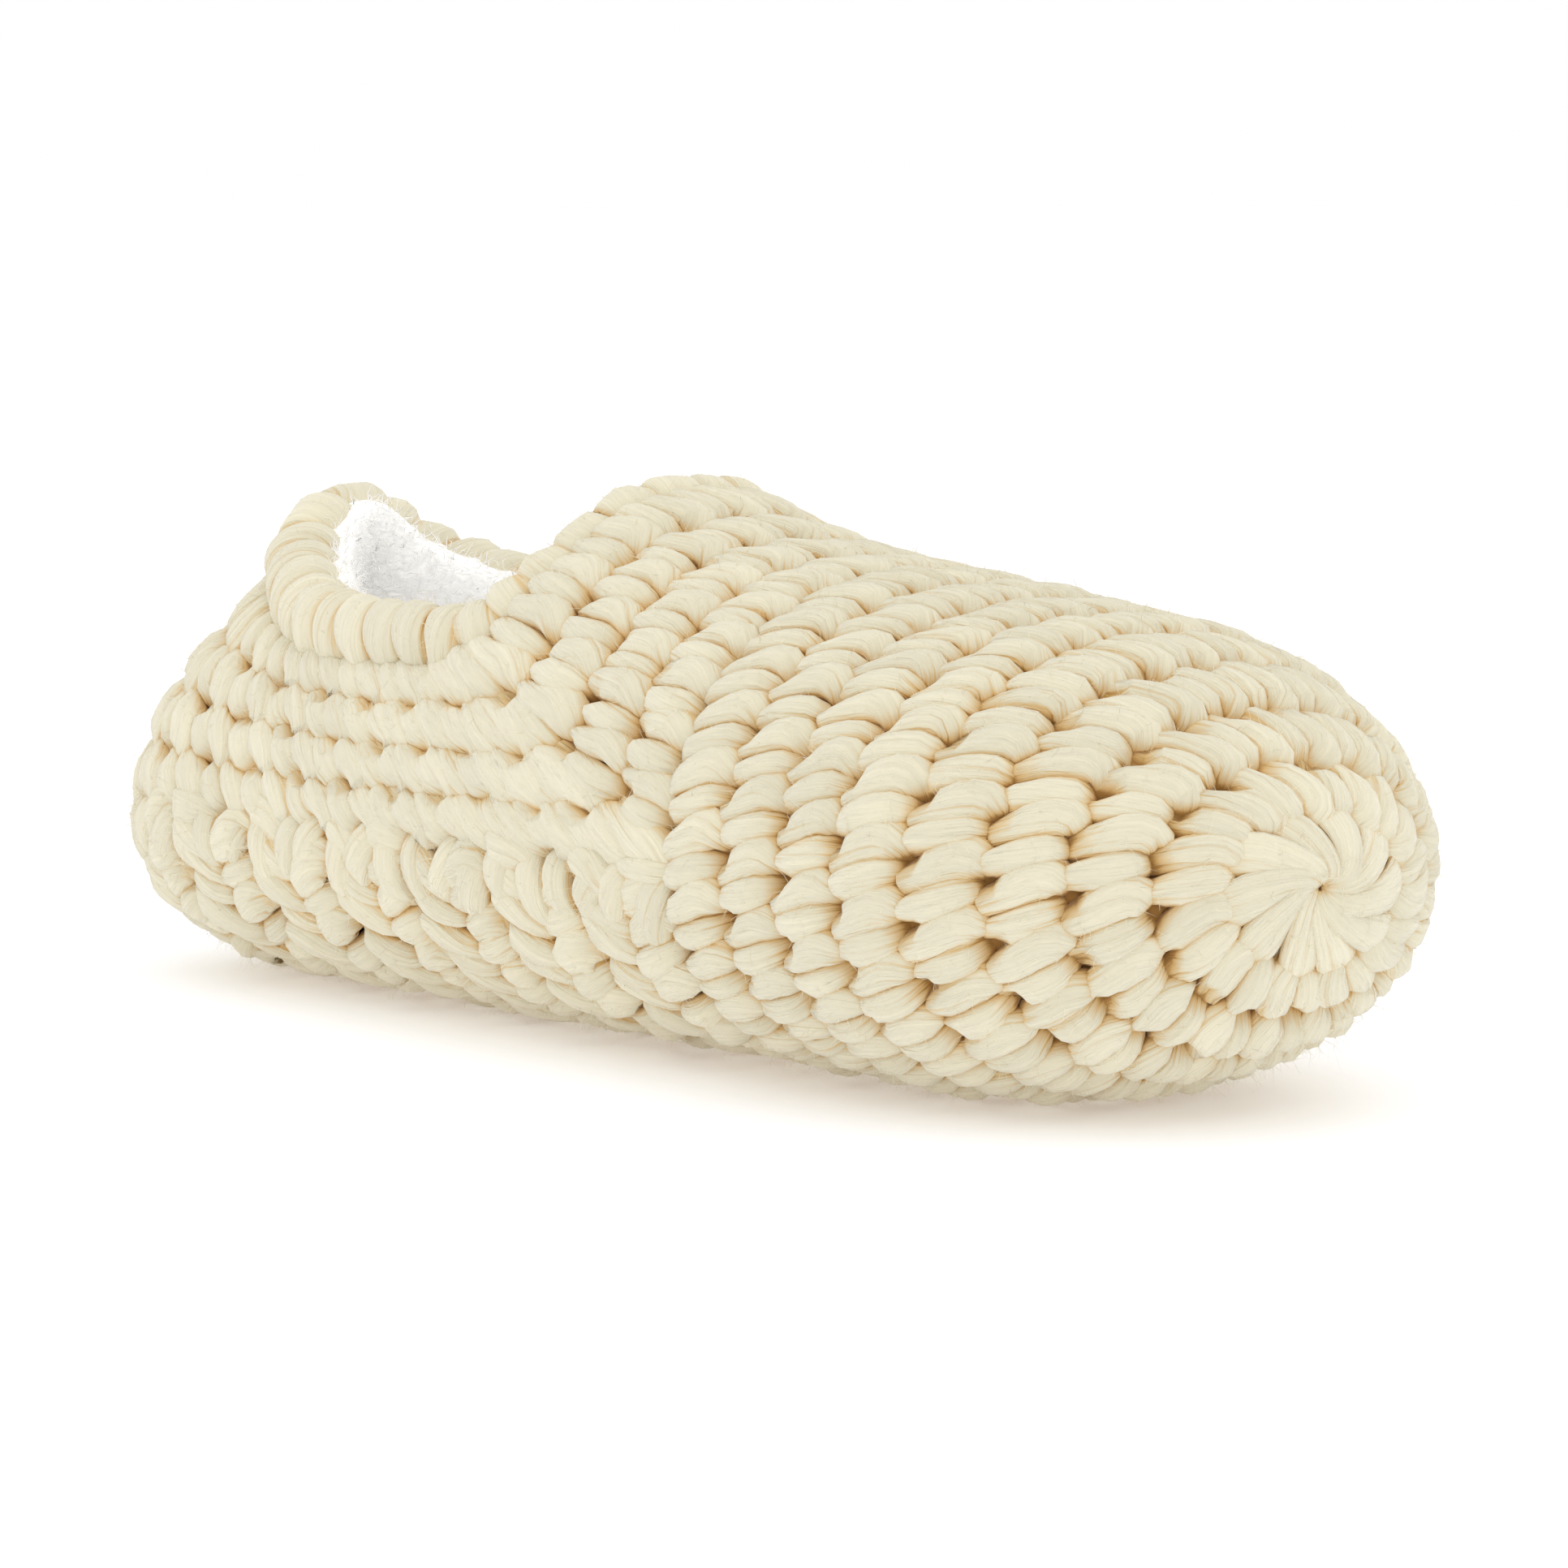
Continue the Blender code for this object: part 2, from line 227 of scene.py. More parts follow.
def count_property(name, description, default):
    return bpy.props.IntProperty(name=name, description=description, min=0, max=15000, default=default)


class SlipperYarn(bpy.types.PropertyGroup):
    """Sizes and colours of the wool and the fleece."""

    cream: colour_property("Yarn", "Colour of the wool where light falls on it", (0.870, 0.822, 0.655))
    # Crevices and Holes are painted shade: the wool takes these colours where it lies deep or hidden, in
    # place of occlusion and light bounced between strands.
    crevice_shade: colour_property("Crevices", "Colour of the wool between the stitches", (0.85, 0.60, 0.25))
    hole_shade: colour_property("Holes", "Colour of the wool deep in the holes", (0.56, 0.31, 0.09))
    fleece: colour_property("Fleece", "Colour of the lining and the insole", (0.97, 0.96, 0.94))
    stitch_length: length_property(
        "Stitch length", "Length of one stitch along its round", 0.004, 0.02, 0.0095)
    strand_height: length_property(
        "Strand height", "Half the height of one strand of yarn", 0.001, 0.005, 0.0024)
    wrap_pitch: length_property(
        "Wrap pitch", "Distance between two wraps of the collar", 0.003, 0.012, 0.0074)
    lining_depth: length_property(
        "Lining depth", "Depth of the lining's inner face under the crests", 0.006, 0.01, 0.008)
    ply_depth: bpy.props.FloatProperty(
        name="Ply depth", description="Depth of the furrows between plies, as a share of the strand",
        subtype="FACTOR", min=0.0, max=0.3, default=0.07)
    fuzz_count: count_property("Stray fibres", "Number of stray fibres on the wool", 14000)
    pile_count: count_property("Fleece pile", "Number of tufts on the fleece's edge", 7000)


class SlipperStage(bpy.types.PropertyGroup):
    """Camera and light."""

    azimuth: bpy.props.FloatProperty(
        name="Azimuth", description="Turn of the camera round the slipper",
        subtype="ANGLE", default=math.radians(49.5))
    elevation: bpy.props.FloatProperty(
        name="Elevation", description="Rise of the camera above the floor",
        subtype="ANGLE", default=math.radians(6.2))
    distance: bpy.props.FloatProperty(
        name="Distance", description="Distance from the camera to the slipper",
        unit="LENGTH", default=0.80)
    lens: bpy.props.FloatProperty(
        name="Lens", description="Focal length in millimetres", default=125.0)
    sky: bpy.props.FloatProperty(
        name="Room light", description="Strength of the even white light", default=0.91)
    key: bpy.props.FloatProperty(
        name="Key light", description="Strength of the large light above", default=0.5)


def clamp(value):
    return min(1.0, max(0.0, value))


def ease(value):
    """Smooth step from 0 to 1."""
    value = clamp(value)
    return value * value * (3 - 2 * value)


def mix(start, end, share):
    return start + (end - start) * share


def across(vector, direction):
    """The vector without its part along the direction."""
    return vector - direction * vector.dot(direction)


def unit(vectors):
    """Vectors of an array at length 1."""
    return vectors / np.linalg.norm(vectors, axis=-1, keepdims=True)


def rounding(share, power=2.0):
    """Quarter of a superellipse: 1 where the rounding starts, 0 at its tip."""
    return (1 - clamp(share) ** power) ** (1 / power)


def profile(x):
    """Half width, height of the widest line, top and underside of the last at x."""
    heel = HEEL_CENTRE_X
    toe = LENGTH / 2 - TOE_ROUNDING
    spring = LENGTH / 2 - TOE_SPRING_LENGTH
    heel_end = rounding((heel - x) / HEEL_ROUNDING)
    toe_end = rounding((x - toe) / TOE_ROUNDING, TOE_POWER)
    toe_lift = rounding((x - spring) / TOE_SPRING_LENGTH)
    half_width = mix(HEEL_HALF_WIDTH, BALL_HALF_WIDTH, clamp((x - heel) / (toe - heel)))
    half_width *= heel_end * toe_end
    if x < 0:
        middle = mix(HEEL_SEAM_HEIGHT, ARCH_SEAM_HEIGHT, clamp(1 + 2 * x / LENGTH))
        height = mix(HEEL_HEIGHT, INSTEP_HEIGHT, ease(1 + x / INSTEP_RISE_LENGTH))
    else:
        middle = mix(ARCH_SEAM_HEIGHT, TOE_TIP_HEIGHT, clamp(2 * x / LENGTH) ** 2)
        height = mix(INSTEP_HEIGHT, TOE_HEIGHT, clamp(x / toe))
    top = middle + (height - middle) * heel_end * toe_end
    underside = middle - (middle + SETTLING) * heel_end * toe_lift
    return half_width, middle, top, underside


def last_point(x, angle):
    """Point of the last at x, with the angle from 0 at the top to pi underneath, on the -Y side."""
    half_width, middle, top, underside = profile(x)
    sideways = math.sin(angle)
    upward = math.cos(angle)
    if upward >= 0:
        power = 2 / TOP_POWER
        height = middle + (top - middle) * upward ** power
    else:
        power = 2 / UNDER_POWER
        height = middle - (middle - underside) * (-upward) ** power
    return Vector((x, -half_width * max(0.0, sideways) ** power, max(0.0, height)))


def is_inside(point):
    """True where the point lies inside the last."""
    if abs(point.x) >= LENGTH / 2 or point.z < 0:
        return False
    half_width, middle, top, underside = profile(point.x)
    rise = point.z - middle
    if rise >= 0:
        power = TOP_POWER
        reach = top - middle
    else:
        power = UNDER_POWER
        reach = middle - underside
    return (abs(point.y) / half_width) ** power + (abs(rise) / reach) ** power < 1


def cast(origin, target):
    """Point of the last on the ray from the origin through the target."""
    direction = (target - origin).normalized()
    near = 0.0
    far = LENGTH
    for _ in range(32):
        middle = (near + far) / 2
        if is_inside(origin + direction * middle):
            near = middle
        else:
            far = middle
    return origin + direction * near


def curve(before, start, end, after, share):
    """Smooth curve between a start and an end, led by the points before and after them."""
    bend = 2 * before - 5 * start + 4 * end - after
    twist = 3 * start - before - 3 * end + after
    return start + ((end - before) * share + bend * share ** 2 + twist * share ** 3) / 2


def collar_lines():
    """Fine points of the collar's centre line, as (place, radius), for the throat and the side."""
    rows = [Vector((x, y, z, radius)) for x, y, z, radius in COLLAR]
    mirror = Vector((1, -1, 1, 1))
    rows = [rows[1] * mirror] + rows + [rows[-2] * mirror]
    fine = []
    corner = 0
    for index in range(1, len(rows) - 2):
        if index - 1 == COLLAR_CORNER:
            corner = len(fine)
        for step in range(24):
            fine.append(curve(*rows[index - 1:index + 3], step / 24))
    fine.append(rows[-2])
    return fine[:corner + 1], fine[corner:]


def spaced(line, count):
    """Points at equal steps along a fine line, each with its direction."""
    lengths = [0.0]
    for start, end in zip(line, line[1:]):
        lengths.append(lengths[-1] + (end - start).xyz.length)
    result = []
    place = 0
    for index in range(count + 1):
        wanted = lengths[-1] * index / count
        while place < len(line) - 2 and lengths[place + 1] < wanted:
            place += 1
        share = (wanted - lengths[place]) / (lengths[place + 1] - lengths[place])
        direction = (line[place + 1] - line[place]).xyz.normalized()
        result.append((line[place].lerp(line[place + 1], share), direction))
    return result


def collar_stations(throat_count, side_count):
    """Stations along the half collar on the -Y side, from the throat to the heel tab."""
    throat, side = collar_lines()
    stations = spaced(throat, throat_count)[:-1] + spaced(side, side_count)
    stations[0] = (stations[0][0], Vector((0, -1, 0)))
    stations[-1] = (stations[-1][0], Vector((0, 1, 0)))
    return stations


def seam_line(back, front, count):
    """Points of the widest line at equal steps from the front x to the back x."""
    fine = []
    for index in range(401):
        share = math.sin(math.pi / 2 * index / 400)
        fine.append(last_point(mix(front, back, share), math.pi / 2).to_4d())
    return [station.xyz for station, _ in spaced(fine, count)]


def round_stations(count):
    """x at equal steps along the toe's outline, from the join to the tip."""
    fine = []
    for index in range(801):
        x = mix(JOIN_X, LENGTH / 2, math.sin(math.pi / 2 * index / 800))
        half_width, _, top, underside = profile(x)
        fine.append(Vector((x, (half_width + (top - underside) / 2) / 2, 0, 0)))
    return [station.x for station, _ in spaced(fine, count)]


def resampled(points, count, closed, keep=0.0):
    """Points at equal steps along a line; a closed line ends one step before its start.

    The steps keep a share of the line's own spacing.
    """
    line = np.vstack((points, points[:1])) if closed else points
    steps = np.linalg.norm(np.diff(line, axis=0), axis=1)
    steps = mix(steps, steps.mean(), keep)
    lengths = np.concatenate(([0.0], np.cumsum(steps)))
    wanted = np.linspace(0.0, lengths[-1], count + 1)
    result = np.stack([np.interp(wanted, lengths, line[:, axis]) for axis in range(3)], axis=1)
    return result[:-1] if closed else result


def whole(half):
    """Both sides of a half line that starts and ends in the middle plane."""
    half = np.array(half)
    return np.vstack((half, half[-2:0:-1] * (1, -1, 1)))


class Patch:
    """Surface sampled as rows of points, read at any row and at any share of a row."""

    def __init__(self, rows, closed):
        self.points = np.array(rows)
        self.closed = closed
        down = np.gradient(self.points, axis=0)
        if closed:
            along = np.roll(self.points, -1, axis=1) - np.roll(self.points, 1, axis=1)
        else:
            along = np.gradient(self.points, axis=1)
        normals = np.cross(down, along)
        centres = np.zeros_like(self.points)
        centres[..., 0] = np.clip(self.points[..., 0], HEEL_CENTRE_X, LENGTH / 2 - TOE_ROUNDING)
        centres[..., 2] = 0.030
        outward = self.points - centres
        sizes = np.linalg.norm(normals, axis=2, keepdims=True)
        normals = np.where(sizes > 1e-12, normals, outward)
        normals = np.where((normals * outward).sum(axis=2, keepdims=True) < 0, -normals, normals)
        self.normals = unit(normals)

    def read(self, row, share):
        """Places and normals at the rows and shares."""
        rows, columns = self.points.shape[:2]
        row = np.clip(row, 0, rows - 1.0001)
        above = row.astype(int)
        down = (row - above)[..., None]
        if self.closed:
            place = (share % 1.0) * columns
            left = place.astype(int) % columns
            right = (left + 1) % columns
            side = (place - np.floor(place))[..., None]
        else:
            place = np.clip(share, 0, 1) * (columns - 1.0001)
            left = place.astype(int)
            right = left + 1
            side = (place - left)[..., None]
        result = []
        for grid in (self.points, self.normals):
            upper = mix(grid[above, left], grid[above, right], side)
            lower = mix(grid[above + 1, left], grid[above + 1, right], side)
            result.append(mix(upper, lower, down))
        places, normals = result
        return places, unit(normals)

    def row_length(self, row):
        """Length of one row."""
        line = self.points[int(min(row, len(self.points) - 1))]
        if self.closed:
            line = np.vstack((line, line[:1]))
        return np.linalg.norm(np.diff(line, axis=0), axis=1).sum()


def toe_patch():
    """Closed toe and forefoot tube, row by row from the join to the tip."""
    rows = []
    count = TOE_ROUNDS * FINE
    for i, x in enumerate(round_stations(count)):
        half = [last_point(x, math.pi * j / 60) for j in range(61)]
        ring = whole(half)
        turn = TIP_TURN * ease(i / count * 2 - 1)
        if turn:
            turned = Matrix.Rotation(turn, 3, "Z")
            aims = [TOE_CENTRE + turned @ (Vector(point) - TOE_CENTRE) for point in ring]
            ring = np.array([cast(TOE_CENTRE, aim) for aim in aims])
        rows.append(resampled(ring, RING_COLUMNS, True))
    return Patch(rows, True)


def ankle_patch():
    """Ankle rounds from the collar's edge down to the join and the seam."""
    stations = collar_stations(THROAT_COLUMNS, SIDE_COLUMNS)
    lower = [last_point(JOIN_X, math.pi / 2 * j / THROAT_COLUMNS) for j in range(THROAT_COLUMNS)]
    lower += seam_line(-LENGTH / 2, JOIN_X, SIDE_COLUMNS)
    count = ANKLE_ROUNDS * FINE
    rows = [[] for _ in range(count + 1)]
    for (station, direction), end in zip(stations, lower):
        centre = station.xyz
        inside = Vector((centre.x, 0, ANKLE_CENTRE.z))
        surface = cast(inside, centre + across(end - centre, direction) * 0.25)
        inward = (inside - surface).normalized()
        down = across(surface + inward * WALL_EDGE - centre, direction).normalized()
        outward = direction.cross(down)
        if outward.dot(centre - ANKLE_CENTRE) < 0:
            outward.negate()
        start = centre + down * station.w * ROLL_SEAT + outward * WALL_EDGE
        middle = cast(ANKLE_CENTRE, start.lerp(end, 0.5))
        for i, row in enumerate(rows):
            share = i / count
            first = (1 - share) * (1 - 2 * share)
            second = 4 * share * (1 - share)
            third = share * (2 * share - 1)
            row.append(start * first + middle * second + end * third)
    return Patch([resampled(whole(row), 2 * RING_COLUMNS, True, 0.6) for row in rows], True)


def sole_patch():
    """Sole flap, row by row from the arch to the heel, each row from seam to seam underneath."""
    edge = seam_line(HEEL_CENTRE_X, JOIN_X, SOLE_ROWS * FINE)
    edge += seam_line(-LENGTH / 2, HEEL_CENTRE_X, HEEL_ROWS * FINE)[1:]
    rows = []
    for point in edge:
        origin = Vector((max(point.x, HEEL_CENTRE_X), 0, point.z))
        outward = (point - origin).normalized()
        line = [point]
        for step in range(1, 24):
            angle = math.pi / 2 * step / 24
            aim = origin + outward * math.cos(angle) - Vector((0, 0, math.sin(angle)))
            line.append(cast(origin, aim))
        line.append(Vector((origin.x, 0, 0)))
        half = np.array(line)
        both = np.vstack((half, half[-2::-1] * (1, -1, 1)))
        rows.append(resampled(both, SOLE_COLUMNS - 1, False))
    return Patch(rows, False)


class Skein:
    """Gathers strands and ground of one piece, and makes its mesh."""

    def __init__(self, seed):
        self.random = np.random.default_rng(seed)
        self.places = []
        self.faces = []
        self.cover = []
        self.tint = []
        self.fibre = []
        self.holes = []
        self.count = 0

    def add(self, places, faces, cover, tint, fibre):
        """Adds loose vertices and faces with their values."""
        self.places.append(places.reshape(-1, 3))
        for face in faces:
            self.faces.append(face + self.count)
        self.cover.append(np.broadcast_to(cover, places.shape[:-1]).ravel())
        self.tint.append(np.broadcast_to(tint, places.shape[:-1]).ravel())
        self.fibre.append(np.broadcast_to(fibre, places.shape).reshape(-1, 3))
        self.count += places[..., 0].size

    def add_strands(self, centres, ups, lifts, widths, heights):
        """Closed tubes along centre lines: arrays of strands, points and their sizes."""
        yarn = bpy.context.scene.slipper_yarn
        strands, points = centres.shape[:2]
        sides = STRAND_SIDES
        ahead = unit(np.gradient(centres, axis=1))
        ups = unit(ups - ahead * (ups * ahead).sum(axis=2, keepdims=True))
        asides = np.cross(ahead, ups)
        steps = np.linalg.norm(np.diff(centres, axis=1), axis=2)
        run = np.concatenate((np.zeros((strands, 1)), np.cumsum(steps, axis=1)), axis=1)
        turn = 2 * np.pi * np.arange(sides) / sides - np.pi / 2
        start = self.random.uniform(0, 2 * np.pi, (strands, 1, 1))
        run /= FIBRE_STEP
        wound = turn[None, None, :] + start + PLY_TWIST * run[:, :, None]
        ply = 1 + yarn.ply_depth * np.cos(PLIES * wound)
        out = np.sin(turn)[None, None, :] * ply * heights[:, :, None]
        aside = np.cos(turn)[None, None, :] * ply * widths[:, :, None]
        rings = centres[:, :, None] + asides[:, :, None] * aside[..., None] + ups[:, :, None] * out[..., None]
        ends = np.stack((centres[:, 0] - ahead[:, 0] * heights[:, :1] * 0.4,
                         centres[:, -1] + ahead[:, -1] * heights[:, -1:] * 0.4), axis=1)
        # Painted shade: cover falls from 1 on the crests to 0 at COVER_DEPTH below them, darkening the wool's
        # colour with depth.
        cover = np.clip(1 + (lifts[:, :, None] + out) / COVER_DEPTH, 0, 1)
        end_cover = np.clip(1 + lifts[:, [0, -1]] / COVER_DEPTH, 0, 1)
        tint = np.broadcast_to(self.random.uniform(0, 1, (strands, 1)), (strands, points * sides + 2))
        spot = self.random.uniform(0, 50, (strands, 1, 1))
        fibre = np.stack((np.broadcast_to(run[:, :, None] + spot, wound.shape),
                          np.cos(wound), np.sin(wound)), axis=3)
        end_fibre = np.zeros((strands, 2, 3))
        end_fibre[:, :, 0] = run[:, [0, -1]] + spot[:, :, 0]
        places = np.concatenate((rings.reshape(strands, -1, 3), ends), axis=1)
        cover = np.concatenate((cover.reshape(strands, -1), end_cover), axis=1)
        fibre = np.concatenate((fibre.reshape(strands, -1, 3), end_fibre), axis=1)
        ring = np.arange(sides)
        near = np.arange(points - 1)[:, None] * sides
        quads = np.stack((near + ring, near + (ring + 1) % sides,
                          near + sides + (ring + 1) % sides, near + sides + ring), axis=2).reshape(-1, 4)
        first = np.stack((np.full(sides, points * sides), (ring + 1) % sides, ring), axis=1)
        base = (points - 1) * sides
        last = np.stack((np.full(sides, points * sides + 1), base + ring, base + (ring + 1) % sides), axis=1)
        offsets = (np.arange(strands) * (points * sides + 2))[:, None, None]
        faces = [(block[None] + offsets).reshape(-1, block.shape[1]) for block in (quads, first, last)]
        places[..., 2] = np.maximum(places[..., 2], FLOOR)
        self.add(places, faces, cover, tint, fibre)

    def add_shell(self, patch, outer, inner, row_step, column_step, bumps=0.0, cover=0.2):
        """Closed shell between two depths under a patch; on wool its cover of 0.2 colours it as painted
        shade.
        """
        rows = list(range(0, len(patch.points), row_step))
        if rows[-1] != len(patch.points) - 1:
            rows.append(len(patch.points) - 1)
        columns = np.arange(0, patch.points.shape[1], column_step)
        points = patch.points[rows][:, columns]
        normals = patch.normals[rows][:, columns]
        noise = self.random.normal(0, 1, points.shape[:2])[..., None] * bumps
        layers = np.stack((points - normals * outer, points - normals * (inner + noise)))
        layers[..., 2] = np.maximum(layers[..., 2], np.array((outer, inner))[:, None, None] * 0.6 + FLOOR)
        height, width = points.shape[:2]
        index = np.arange(2 * height * width).reshape(2, height, width)
        if patch.closed:
            index = np.concatenate((index, index[:, :, :1]), axis=2)
        faces = []
        for layer, order in ((0, 1), (1, -1)):
            grid = index[layer]
            quads = np.stack((grid[:-1, :-1], grid[:-1, 1:], grid[1:, 1:], grid[1:, :-1]), axis=2)
            faces.append(quads.reshape(-1, 4)[:, ::order])
        rims = [(index[0, 0], index[1, 0], -1), (index[0, -1], index[1, -1], 1)]
        if not patch.closed:
            rims += [(index[0, :, 0], index[1, :, 0], 1), (index[0, :, -1], index[1, :, -1], -1)]
        for upper, lower, order in rims:
            quads = np.stack((upper[:-1], upper[1:], lower[1:], lower[:-1]), axis=1)
            faces.append(quads[:, ::order])
        self.add(layers, faces, cover, 0.5, 0.0)

    def open_holes(self):
        """Draws the strands down into the holes between the stitches, and darkens them there with painted
        shade.
        """
        holes = np.concatenate([places for places, _ in self.holes])
        normals = np.concatenate([ups for _, ups in self.holes])
        clear = holes[:, 2] > HOLE_LOWEST
        holes = holes[clear]
        normals = normals[clear]
        for index, places in enumerate(self.places):
            away = places[:, None] - holes[None]
            height = (away * normals[None]).sum(axis=2)
            aside = (away ** 2).sum(axis=2) - height ** 2
            gap = aside + (0.4 * (height + 0.002)) ** 2
            nearest = gap.argmin(axis=1)
            every = np.arange(len(places))
            pull = np.exp(-gap[every, nearest] / HOLE_RADIUS ** 2)
            room = HOLE_FLOOR + height[every, nearest]
            sink = np.clip(room, 0, pull * HOLE_DEPTH)
            self.places[index] = places - normals[nearest] * sink[:, None]
            # Painted shade in the holes: lower cover turns the wool darker near each hole.
            self.cover[index] = self.cover[index] - pull * HOLE_SHADE

    def make(self, name, material):
        """Mesh object of all that was gathered, with its normals outward."""
        faces = []
        for block in self.faces:
            faces += block.tolist()
        data = bpy.data.meshes.new(name)
        data.from_pydata(np.concatenate(self.places).tolist(), [], faces)
        for label, values in (("cover", self.cover), ("tint", self.tint)):
            layer = data.attributes.new(label, "FLOAT", "POINT")
            layer.data.foreach_set("value", np.concatenate(values))
        layer = data.attributes.new("fibre", "FLOAT_VECTOR", "POINT")
        layer.data.foreach_set("vector", np.concatenate(self.fibre).ravel())
        data.polygons.foreach_set("use_smooth", [True] * len(data.polygons))
        data.materials.append(material)
        piece = bpy.data.objects.new(name, data)
        bpy.context.collection.objects.link(piece)
        bpy.ops.object.select_all(action="DESELECT")
        bpy.context.view_layer.objects.active = piece
        piece.select_set(True)
        bpy.ops.object.mode_set(mode="EDIT")
        bpy.ops.mesh.select_all(action="SELECT")
        bpy.ops.mesh.remove_doubles(threshold=0.000002)
        bpy.ops.mesh.normals_make_consistent(inside=False)
        bpy.ops.object.mode_set(mode="OBJECT")
        piece.select_set(False)
        return piece


def smoothed(table, count):
    """Rows of a table read at equal steps along a smooth curve through them."""
    rows = np.array(table)
    rows = np.vstack((2 * rows[0] - rows[1], rows, 2 * rows[-1] - rows[-2]))
    spans = len(table) - 1
    place = np.linspace(0, spans, count)
    index = np.minimum(place.astype(int), spans - 1)
    share = (place - index)[:, None]
    return curve(*(rows[index + step] for step in range(4)), share)


def add_stitches(skein, patch, row, count, shift, facing=1, strands=(CROSSING, HOOK),
                 least=0.0, loose=1.0, crowd=0.0, holes=True):
    """One round of stitches between two rows of a patch, with their holes on the side it faces."""
    yarn = bpy.context.scene.slipper_yarn
    random = skein.random
    shares = (np.arange(count) + shift % 1.0) / count
    if patch.closed:
        shares = shares + 0.25
        shares = shares - crowd * np.sin(2 * np.pi * shares) / (2 * np.pi)
    middle = np.full(count, (row + 0.5) * FINE)
    here, _ = patch.read(middle, shares)
    beside, _ = patch.read(middle, shares + 0.25 / count)
    behind, _ = patch.read(middle - FINE / 2, shares)
    ahead, _ = patch.read(middle + FINE / 2, shares)
    pitch = 4 * np.linalg.norm(beside - here, axis=1)[:, None]
    depth = np.linalg.norm(ahead - behind, axis=1)[:, None]
    size = np.clip(np.minimum(pitch / FULL_PITCH, depth / FULL_ROW), 0.3, 1.0)
    kept = size[:, 0] > least
    for table in strands:
        def vary(spread):
            return random.uniform(-spread, spread, (count, 1)) * loose

        u, v, sink, width = smoothed(table, STRAND_POINTS).T[:, None, :]
        high = yarn.strand_height * size * (1 + vary(0.08))
        heights = high * (1 - 0.45 * np.clip(sink / TAPER_DEPTH, 0, 1))
        widths = np.minimum(pitch * width * (1 + vary(0.08)), WIDEST_HALF)
        lifts = np.maximum(-high - sink * size + vary(0.0003), -DEEPEST)
        across_row = (v * (1 + vary(0.03)) + vary(0.025)) * facing
        along_row = u + vary(0.04) + vary(0.04) * v
        rows = middle[:, None] + across_row * FINE
        places, ups = patch.read(rows, shares[:, None] - along_row / count)
        centres = places + ups * lifts[..., None]
        skein.add_strands(centres[kept], ups[kept], lifts[kept], widths[kept], heights[kept])
    if holes:
        rows = middle + HOLE_REACH * FINE
        skein.holes.append(patch.read(rows, shares - HOLE_SHARE / count))


def finish_piece(piece, slot, *nodes):
    """Ties a piece to the frame."""
    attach(piece, "root")
    if nodes:
        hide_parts(*nodes)


class Shading:
    """A new material, and short ways to add nodes to it."""

    def __init__(self, name):
        self.material = bpy.data.materials.new(name)
        self.material.use_nodes = True
        self.tree = self.material.node_tree
        self.shader = self.tree.nodes["Principled BSDF"]

    def feed(self, node, *sources, **values):
        """Links or sets inputs, in their order or by their names with low lines for spaces."""
        inputs = list(zip(node.inputs, sources))
        inputs += [(node.inputs[name.replace("_", " ")], value) for name, value in values.items()]
        for socket, value in inputs:
            if isinstance(value, bpy.types.NodeSocket):
                self.tree.links.new(value, socket)
            else:
                socket.default_value = value

    def add(self, kind, output, *sources, operation=None, **values):
        """Output of a new node."""
        node = self.tree.nodes.new("ShaderNode" + kind)
        if operation:
            node.operation = operation
        self.feed(node, *sources, **values)
        return node.outputs[output]

    def attribute(self, name, output):
        """The piece's own attribute."""
        node = self.tree.nodes.new("ShaderNodeAttribute")
        node.attribute_name = name
        return node.outputs[output]

    def ranged(self, value, start, end):
        """A value taken from one range to another."""
        return self.add("MapRange", "Result", Value=value, From_Min=start[0], From_Max=start[1],
                        To_Min=end[0], To_Max=end[1])

    def ramp(self, value, stops):
        """Colours along a value, from their places."""
        node = self.tree.nodes.new("ShaderNodeValToRGB")
        elements = node.color_ramp.elements
        for place, _ in stops[1:-1]:
            elements.new(place)
        for index, (place, colour) in enumerate(stops):
            elements[index].position = place
            elements[index].color = (*colour, 1)
        self.feed(node, value)
        return node.outputs["Color"]


